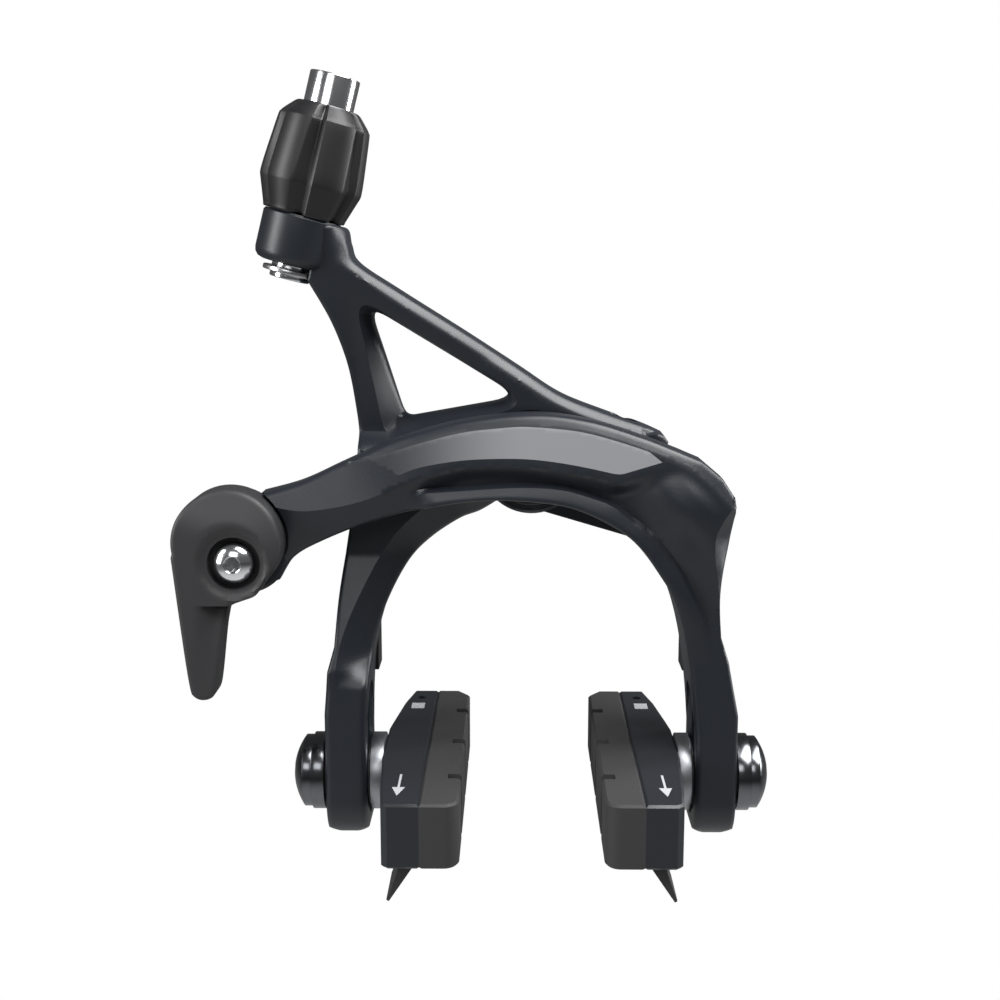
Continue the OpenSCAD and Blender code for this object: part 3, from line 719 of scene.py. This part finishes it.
def make_rear_arm():
    """The strut frame with its hub, its barrel boss and its left leg."""
    step = rounded(WINDOW_STEP)
    lines = [curve(STRUT_RIDGE, 4), curve(REAR_RIDGE, 4), step + step[:1]]
    arm = plate("rear_arm_shell", rear_outline(), [rounded(WINDOW)], rear_arm_front, rear_arm_back,
                rear_arm_rim, SPACING, lines)
    hub = [(7.4, 0), (7.9, 0.5), (7.9, 4.9), (7.5, 5.3)]
    combine(arm, solid_lathe("hub", hub, along_y(0, 0, -12.2)), "UNION")
    boss = [(4.6, -7.4), (5.3, -7.15), (5.75, -6.6), (5.9, -5.9), (5.9, -0.35), (5.6, 0)]
    combine(arm, solid_lathe("boss", boss, on_barrel(), 96), "UNION")
    combine(arm, solid_lathe("bush_bore", [(5, 0), (5, 22)], along_y(0, 0, -21)))
    combine(arm, solid_lathe("hub_recess", [(8.3, 0), (8.3, 8.8)], along_y(0, 0, -21)))
    bore = [(4.4, -12.6), (4.4, -7.6), (3.05, -7.3), (3.05, -0.2), (3.4, 0.3), (3.4, 1)]
    combine(arm, solid_lathe("barrel_bore", bore, on_barrel()))
    screw = Matrix.Translation((14.2, -9, 0))
    thread = [(1.55, -2), (1.55, 5.4), (2.05, 5.6), (2.05, 6.6), (2.6, 9), (2.6, 12)]
    combine(arm, solid_lathe("screw_bore", thread, screw))
    combine(arm, solid_lathe("pin_bore", [(1.0, 0), (1.0, 8)], along_y(*LINK, -16)))
    combine(arm, leg_slot_cutter(-1))
    combine(arm, washer_seat_cutter(-1))
    return smooth(arm, 30)


front_arm = make_front_arm()
rear_arm = make_rear_arm()


def band_look():
    """The arch's finish with the pale band's grey fading in from the left."""
    material = finish("band", (0.42, 0.43, 0.45), 0.42, grain=0.1)
    nodes, links = material.node_tree.nodes, material.node_tree.links
    shader = nodes["Principled BSDF"]
    place = nodes.new("ShaderNodeTexCoord")
    axes = nodes.new("ShaderNodeSeparateXYZ")
    links.new(place.outputs["Object"], axes.inputs["Vector"])
    fade = nodes.new("ShaderNodeMapRange")
    fade.interpolation_type = "SMOOTHSTEP"
    fade.inputs["From Min"].default_value = -24 * MM
    fade.inputs["From Max"].default_value = 0 * MM
    links.new(axes.outputs["X"], fade.inputs["Value"])
    mix = nodes.new("ShaderNodeMix")
    mix.data_type = "RGBA"
    mix.inputs["A"].default_value = (0.014, 0.017, 0.022, 1)
    mix.inputs["B"].default_value = (0.24, 0.245, 0.26, 1)
    links.new(fade.outputs["Result"], mix.inputs["Factor"])
    links.new(mix.outputs["Result"], shader.inputs["Base Color"])
    return material


def paint_band(arm):
    """Gives the arch's pale band its own finish."""
    arm.data.materials.append(band_look())
    top = [p for p in curve(BEVEL, 4)[::-1] if BAND_LEFT < p[0] < BAND_TOP[0] + 0.001]
    loop = curve(BAND_LOW, 4) + [BAND_TIP] + top
    for polygon in arm.data.polygons:
        x, y, z = polygon.center / MM
        if y < -20 and polygon.normal.y < -0.3 and inside(np.array([(x, z)]), loop)[0]:
            polygon.material_index = 1


dress(front_arm, "anodised")
paint_band(front_arm)
dress(rear_arm, "anodised")
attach(front_arm, "front_arm")
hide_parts("front_arm")
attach(rear_arm, "rear_arm")
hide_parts("rear_arm")

# ---------- quick release lever ----------

HANDLE = [(-39.2, -16.2), (-40.3, -17.6), (-42.2, -18.35), (-43.6, -18.9), (-44.5, -19.8), (-44.9, -21.2),
          (-45.3, -23.5), (-46.1, -29.8), (-46.6, -32.3), (-47.4, -33.2), (-48.7, -33.4), (-49.8, -32.8),
          (-50.3, -31.6), (-51, -26), (-52.4, -12)]
# The head's flat top, then the dish and the pocket round the anchor bolt
FACE_HILL, FACE_HILL_R = (-44.0, -12.2), 5.6
DISH_R, POCKET_R, POCKET_DEEP = 5.4, 3.9, 2.5
# The ledge above the thumb scoop: its height and how far it slopes
LEDGE_Z, LEDGE_FALL = -19.0, 0.35


def lever_outline():
    """The handle, then the round head, which stays inside the CAD head by a hair."""
    a, b = (math.atan2(p[1] - LEVER[1], p[0] - LEVER[0]) for p in (HANDLE[-1], HANDLE[0]))
    sweep = (b - a) % (2 * math.pi) - 2 * math.pi
    return curve(HANDLE, 4) + arc(LEVER, HEAD_R - 0.05, [a + sweep * k / 60 for k in range(1, 60)])


def lever_front(x, z):
    """Y of the lever's face."""
    hill = np.hypot(x - FACE_HILL[0], z - FACE_HILL[1])
    dish = np.hypot(x - ANCHOR[0], z - ANCHOR[1])
    head = step_up(0.75 * (x - LEVER[0]) + 0.66 * (z - LEVER[1]), -4, 2)
    y = HEAD_FRONT + 0.34 * np.maximum(hill - FACE_HILL_R, 0) * head
    y += 0.55 * (1 - step_up(dish, 4.3, DISH_R))
    y = np.where(dish < POCKET_R - 0.02, HEAD_FRONT + POCKET_DEEP, y)
    # thumb scoop on the handle, below a ledge
    scoop = step_up(-z, -LEDGE_Z, -LEDGE_Z + LEDGE_FALL) * np.exp(-np.maximum(LEDGE_Z - z, 0) / 5)
    return y + 2.2 * scoop * step_up(x - 0.09 * (z - LEDGE_Z), -49.2, -44.8)


def lever_back(_, z):
    """Y of the lever's back: the handle is thinner than the head."""
    return HEAD_BACK - 1.3 * step_up(-z, 17, 20)


def lever_rim(points):
    """Radius of the edge's rounding."""
    return np.full(len(points), 0.6)


def make_lever():
    """The lever with its dished head and the drum that turns in the arm's end."""
    circles = ((POCKET_R - 0.1, 49), (POCKET_R, 49), (DISH_R, 60))
    lines = [arc(ANCHOR, r, np.linspace(0, 2 * math.pi, n)) for r, n in circles]
    foot = LEDGE_Z - LEDGE_FALL
    lines += [[(-49.5, LEDGE_Z), (-43.9, LEDGE_Z)], [(-49.5, foot), (-44.4, foot)]]
    lever = plate("lever_shell", lever_outline(), [], lever_front, lever_back, lever_rim, 0.5, lines)
    drum = [(DRUM_R, 0), (DRUM_R, 4.9), (DRUM_R - 0.4, 5.3)]
    combine(lever, solid_lathe("drum", drum, along_y(*LEVER, HEAD_BACK - 0.6)), "UNION")
    combine(lever, solid_lathe("anchor_bore", [(2.05, 0), (2.05, 12)], along_y(*ANCHOR, -25)))
    return smooth(lever, 28)


def make_anchor_bolt():
    """A domed head with a small socket, over a plain shank that runs to the nut."""
    end = 17.5
    dome = [(2.0, end), (2.0, 3.2), (3.05, 2.9), (3.05, 1.5), (2.8, 0.85), (2.2, 0.35), (1.5, 0.08),
            (1.28, 0.02)]
    profile = [(0, end)] + dome + [(1.15, 0.12), (0, 0.12)]
    bolt = lathe("anchor_bolt_shape", profile, along_y(*ANCHOR, HEAD_FRONT - 0.35), 64, closed=False)
    socket = [(x + ANCHOR[0], z + ANCHOR[1]) for x, z in ngon(1.12, 6, 0.3)]
    combine(bolt, extrude("socket", socket, flat_along_y(), HEAD_FRONT - 2, HEAD_FRONT + 1.1))
    return smooth(bolt, 30)


lever = make_lever()
dress(lever, "lever_black")
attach(lever, "lever")
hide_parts("quick_release_lever")
anchor_bolt = make_anchor_bolt()
dress(anchor_bolt, "bright_steel")
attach(anchor_bolt, "anchor")
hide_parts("anchor_bolt")

# ---------- adjuster knob ----------

# Outer profile as (radius, height above the boss), and the bore's
KNOB = [(6.0, 0.04), (6.15, 0.3), (6.25, 0.7), (6.9, 2.6), (7.45, 4.2), (7.56, 4.6), (7.58, 5.2),
        (7.5, 6.6), (7.17, 10), (6.8, 13.4), (6.6, 13.9), (6.25, 14.4), (5.1, 15.6), (4.7, 15.95),
        (4.4, 16.1)]
KNOB_BORE = [(BARREL_R + 0.1, 16.0), (BARREL_R + 0.08, 15.7), (BARREL_R + 0.08, 3.1), (3.05, 3.1),
             (3.05, 0.04)]
KNOB_LOBES = 6
KNOB_SIDES = 180
GROOVE_TURN = math.radians(-86.5)


def make_knob():
    """Six lobes parted by lopsided grooves: one long sloping flank and one steep."""
    sides = KNOB_SIDES
    lobe = 2 * math.pi / KNOB_LOBES
    verts, faces = [], []
    rows = curve(KNOB, 3)
    for r, h in rows:
        height = h / 16
        long_flank, steep_flank = 0.34 - 0.16 * height, 0.10
        deep = (0.9 + 0.5 * height) * min(1, max(0, (16.6 - h) / 1.2))
        for k in range(sides):
            a = 2 * math.pi * k / sides
            off = (a - GROOVE_TURN + lobe / 2) % lobe - lobe / 2
            v = max(0.0, 1 - (-off / long_flank if off < 0 else off / steep_flank))
            crown = 0.18 * math.cos(math.pi * off / lobe) ** 2
            q = min(r, 7.6) - deep * v - crown * (1 - v)
            dip = 0.35 * v if h < 0.6 else 0
            verts.append(on_barrel() @ Vector((q * math.cos(a), q * math.sin(a), h + dip)))
    for r, h in KNOB_BORE:
        verts += [on_barrel() @ Vector((x, y, h)) for x, y in ngon(r, sides)]
    total = len(rows) + len(KNOB_BORE)
    for i in range(total):
        j = (i + 1) % total
        for k in range(sides):
            n = (k + 1) % sides
            faces.append((i * sides + k, i * sides + n, j * sides + n, j * sides + k))
    return smooth(mesh_object("knob_shape", verts, faces), 26)


knob = make_knob()
dress(knob, "knob_black")
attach(knob, "adjuster_knob")
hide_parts("adjuster_knob")

# ---------- brake shoes ----------

SHOE_FRONT, SHOE_REAR = LEG_Y - SHOE_LEN / 2, LEG_Y + SHOE_LEN / 2
# The holder's outer side from above, as (distance behind the bolt, x)
HOLDER_PLAN = [(26, 20), (20, 21.2), (10, 22.4), (6.5, 22.77), (-6.5, 22.77), (-10, 22.5), (-20, 21.8),
               (-25.2, 21.3), (-26, 20.4)]
# The rubber's rail, which slides in the holder's channel
RAIL_LOW, RAIL_HIGH = -51, -47
SHOE_CHAMFER = 0.35
# The screw that keeps the rubber in: its place and the radius of its hole
PAD_SCREW_X, PAD_SCREW_Y, PAD_SCREW_R = HOLDER_IN + 2.6, SHOE_REAR - 4, 0.75
NOTCHES, NOTCH_HALF = (-15, 0, 15), 0.9


def flat_along_z(sign):
    """Takes an outline in (x, y), mirrored for the left side, and a height along Z."""
    return Matrix(((sign, 0, 0, 0), (0, 1, 0, 0), (0, 0, 1, 0), (0, 0, 0, 1)))


def block(low, high):
    """A rectangle's corners."""
    return [(low[0], low[1]), (high[0], low[1]), (high[0], high[1]), (low[0], high[1])]


def make_holder(side_name, sign):
    """The shoe holder with the channel for the rubber's rail."""
    mirror = Matrix.Scale(sign, 4, (1, 0, 0))
    plan = [(x, LEG_Y + y) for y, x in HOLDER_PLAN] + [(HOLDER_IN, SHOE_FRONT), (HOLDER_IN, SHOE_REAR)]
    place = flat_along_z(sign)
    holder = extrude("holder_shape_" + side_name, plan, place, SHOE_LOW, SHOE_TOP, SHOE_CHAMFER)
    channel = block((SHOE_FRONT + 2, RAIL_LOW), (SHOE_REAR + 1, RAIL_HIGH))
    combine(holder, extrude("channel", channel, mirror @ flat_along_x(), HOLDER_IN - 1, HOLDER_IN + 2))
    bolt_hole = mirror @ along_x(LEG_Y, (RAIL_LOW + RAIL_HIGH) / 2, HOLDER_IN + 1)
    combine(holder, solid_lathe("holder_bore", [(2.95, 0), (2.95, 9)], bolt_hole))
    for r, low, high in ((PAD_SCREW_R, -60, -40), (1.4, -54, SHOE_LOW + 1.4)):
        hole = Matrix.Translation((sign * PAD_SCREW_X, PAD_SCREW_Y, low))
        combine(holder, solid_lathe("screw_hole", [(r, 0), (r, high - low)], hole, 32))
    return smooth(holder, 30)


def make_pad(side_name, sign):
    """The rubber: cut back at its rear inner corner, rounded in front, with three water notches."""
    place = flat_along_z(sign)
    cut_wide, cut_long, round_r, play = 1.9, 2.6, 2.2, 0.05
    plan = [(HOLDER_IN, SHOE_FRONT), (HOLDER_IN, SHOE_REAR), (PAD_FACE + cut_wide, SHOE_REAR),
            (PAD_FACE, SHOE_REAR - cut_long)]
    corner = (PAD_FACE + round_r, SHOE_FRONT + round_r)
    plan += arc(corner, round_r, np.linspace(math.pi, math.pi * 3 / 2, 8))
    pad = extrude("pad_shape_" + side_name, plan, place, SHOE_LOW, SHOE_TOP, SHOE_CHAMFER)
    rail = block((HOLDER_IN - 1, SHOE_FRONT + 2), (HOLDER_IN + 2 - play, SHOE_REAR - 0.5))
    combine(pad, extrude("rail", rail, place, RAIL_LOW + play, RAIL_HIGH - play), "UNION")
    for y in NOTCHES:
        notch = block((PAD_FACE - 1, LEG_Y + y - NOTCH_HALF), (PAD_FACE + 2, LEG_Y + y + NOTCH_HALF))
        combine(pad, extrude("notch", notch, place, SHOE_LOW - 2, SHOE_TOP + 2))
    hole = Matrix.Translation((sign * PAD_SCREW_X, PAD_SCREW_Y, -60))
    combine(pad, solid_lathe("screw_hole", [(PAD_SCREW_R, 0), (PAD_SCREW_R, 20)], hole, 32))
    return smooth(pad, 30)


def make_arrow(side_name, sign):
    """The printed arrow on the holder's top that points forwards, and a small plate behind it."""
    x, y = 19.2, SHOE_FRONT + 3.4
    head_half, head_long, stem_half, whole = 0.95, 3.2, 0.17, 8.2
    right = [(head_half, head_long), (stem_half, head_long), (stem_half, whole)]
    outline = [(x, y)] + [(x + u, y + v) for u, v in right] + [(x - u, y + v) for u, v in right[::-1]]
    ink_low, ink_high = SHOE_TOP - 0.02, SHOE_TOP + 0.015
    arrow = extrude("arrow_" + side_name, outline, flat_along_z(sign), ink_low, ink_high)
    u, v = 18.9, SHOE_REAR - 8.5
    mark = block((u - 1.1, v - 1.4), (u + 1.1, v + 1.4))
    return combine(arrow, extrude("mark", mark, flat_along_z(sign), ink_low, ink_high), "UNION")


for side_name, sign, body in (("left", -1, "left_shoe"), ("right", 1, "right_shoe")):
    for make, look, stands_for in (
        (make_holder, "holder_black", "shoe_holder_"), (make_pad, "pad_rubber", "brake_pad_"),
        (make_arrow, "print_grey", None),
    ):
        piece = make(side_name, sign)
        dress(piece, look)
        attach(piece, body)
        if stands_for:
            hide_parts(stands_for + side_name)

# ---------- return spring ----------

SPRING_Y, WIRE_R, SPRING_LOOP = -2.3, 0.8, 6.1
SPRING_LEFT = [(-26.6, -34), (-26.2, -27), (-24.6, -20), (-21, -12), (-14, -4), (-8, 1.6)]
SPRING_RIGHT = [(8.6, -1), (15, -5.5), (21, -12), (24.6, -20), (26.2, -27), (26.6, -34)]


def wire(name, line):
    """Round wire along a line in the plane of the spring, its ends rounded off."""
    r, sides = WIRE_R, 14
    p = [Vector(q) for q in line]
    rows = []
    for i, q in enumerate(p):
        along = (p[min(i + 1, len(p) - 1)] - p[max(i - 1, 0)]).normalized()
        rows.append((q, along, r))
    (first, out_a, _), (last, out_b, _) = rows[0], rows[-1]
    rows = [(first + out_a * 0.02, out_a, r * 0.6)] + [(first + out_a * 0.25, out_a, r)] + rows[1:]
    rows = rows[:-1] + [(last - out_b * 0.25, out_b, r), (last - out_b * 0.02, out_b, r * 0.6)]
    verts, faces = [], []
    for q, along, radius in rows:
        for k in range(sides):
            a = 2 * math.pi * k / sides
            verts.append((q.x - along.y * radius * math.cos(a), SPRING_Y + radius * math.sin(a),
                          q.y + along.x * radius * math.cos(a)))
    for i in range(len(rows) - 1):
        for k in range(sides):
            n = (k + 1) % sides
            faces.append((i * sides + k, i * sides + n, (i + 1) * sides + n, (i + 1) * sides + k))
    faces += [tuple(range(sides)), tuple(range((len(rows) - 1) * sides, len(rows) * sides))]
    return smooth(mesh_object(name, verts, faces), 50)


loop = arc((0, 0), SPRING_LOOP, np.radians(np.linspace(140, 20, 17)))
halves = {
    "rear_arm": wire("spring_left", curve(SPRING_LEFT, 6) + loop[:9]),
    "front_arm": wire("spring_right", loop[8:] + curve(SPRING_RIGHT, 6)),
}
# Each half gets the steel finish and has its placement baked into its mesh; neither half is attached to an
# arm
for body, piece in halves.items():
    dress(piece, "steel")
    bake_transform(piece)
    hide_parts("return_spring")

# ---------- CAD parts that keep their shape ----------


def soften(node, width):
    """Rounds the sharp edges of a CAD part."""
    weld = node.modifiers.new("weld", "WELD")
    weld.merge_threshold = 0.002 * MM
    edge = node.modifiers.new("edge", "BEVEL")
    edge.width = width * MM
    edge.segments = 2
    edge.limit_method = "ANGLE"
    edge.angle_limit = math.radians(40)
    edge.use_clamp_overlap = True


REMADE = {"front_arm", "rear_arm", "quick_release_lever", "anchor_bolt", "adjuster_knob", "return_spring"}
for part in frame["record"]["subparts"]:
    name = part["node"]
    if name in REMADE or name.startswith(("shoe_holder", "brake_pad")):
        continue
    node = frame["nodes"][name]
    node.data.materials.clear()
    node.data.materials.append(LOOKS[part["material_slot"]])
    soften(node, 0.08 if "washer" in name or "seat" in name else 0.15)
    if name.startswith("cup_washers"):
        # the outer one of each pair is dark
        node.data.materials.append(LOOKS["dark_chrome"])
        for polygon in node.data.polygons:
            if abs((node.matrix_world @ polygon.center).x) > LEG_OUT * MM:
                polygon.material_index = 1

# ---------- stage and light ----------

# The floor lies far below, so the caliper hangs clear of it as it does on a bicycle
FLOOR_Z = -0.30
bpy.ops.mesh.primitive_plane_add(size=8, location=(0, 0, FLOOR_Z))
floor = bpy.context.object
floor.name = "floor"
floor_look = bpy.data.materials.new("floor")
floor_look.use_nodes = True
nodes, links = floor_look.node_tree.nodes, floor_look.node_tree.links
nodes["Principled BSDF"].inputs["Base Color"].default_value = (0.45, 0.45, 0.45, 1)
nodes["Principled BSDF"].inputs["Roughness"].default_value = 0.9
glow = nodes.new("ShaderNodeEmission")
seen = nodes.new("ShaderNodeLightPath")
both = nodes.new("ShaderNodeMixShader")
links.new(seen.outputs["Is Camera Ray"], both.inputs["Fac"])
links.new(nodes["Principled BSDF"].outputs["BSDF"], both.inputs[1])
links.new(glow.outputs["Emission"], both.inputs[2])
links.new(both.outputs["Shader"], nodes["Material Output"].inputs["Surface"])
floor.data.materials.append(floor_look)

world = bpy.data.worlds.new("world")
bpy.context.scene.world = world
world.use_nodes = True
nodes, links = world.node_tree.nodes, world.node_tree.links
sky = nodes["Background"]
sky.inputs["Color"].default_value = (1, 1, 1, 1)
seen = nodes.new("ShaderNodeLightPath")
level = nodes.new("ShaderNodeMapRange")
level.inputs["To Min"].default_value = 0.10
level.inputs["To Max"].default_value = 1.0
links.new(seen.outputs["Is Camera Ray"], level.inputs["Value"])
links.new(level.outputs["Result"], sky.inputs["Strength"])


CENTRE = Vector((0, -0.013, -0.01))


def area_light(name, at, size, power):
    """A soft rectangular light that faces the caliper."""
    data = bpy.data.lights.new(name, "AREA")
    data.shape = "RECTANGLE"
    data.size, data.size_y = size
    data.energy = power
    light = bpy.data.objects.new(name, data)
    light.location = at
    light.rotation_euler = (CENTRE - Vector(at)).to_track_quat("-Z", "Y").to_euler()
    bpy.context.collection.objects.link(light)


area_light("top", (0.20, -0.12, 0.38), (0.45, 0.30), 4.6)
area_light("left", (-0.42, -0.20, 0.12), (0.16, 0.40), 2.0)
area_light("right", (0.42, 0.14, 0.10), (0.14, 0.40), 1.6)
area_light("front", (-0.10, -0.60, 0.30), (0.30, 0.20), 0.7)
bpy.context.scene.view_settings.view_transform = "Standard"
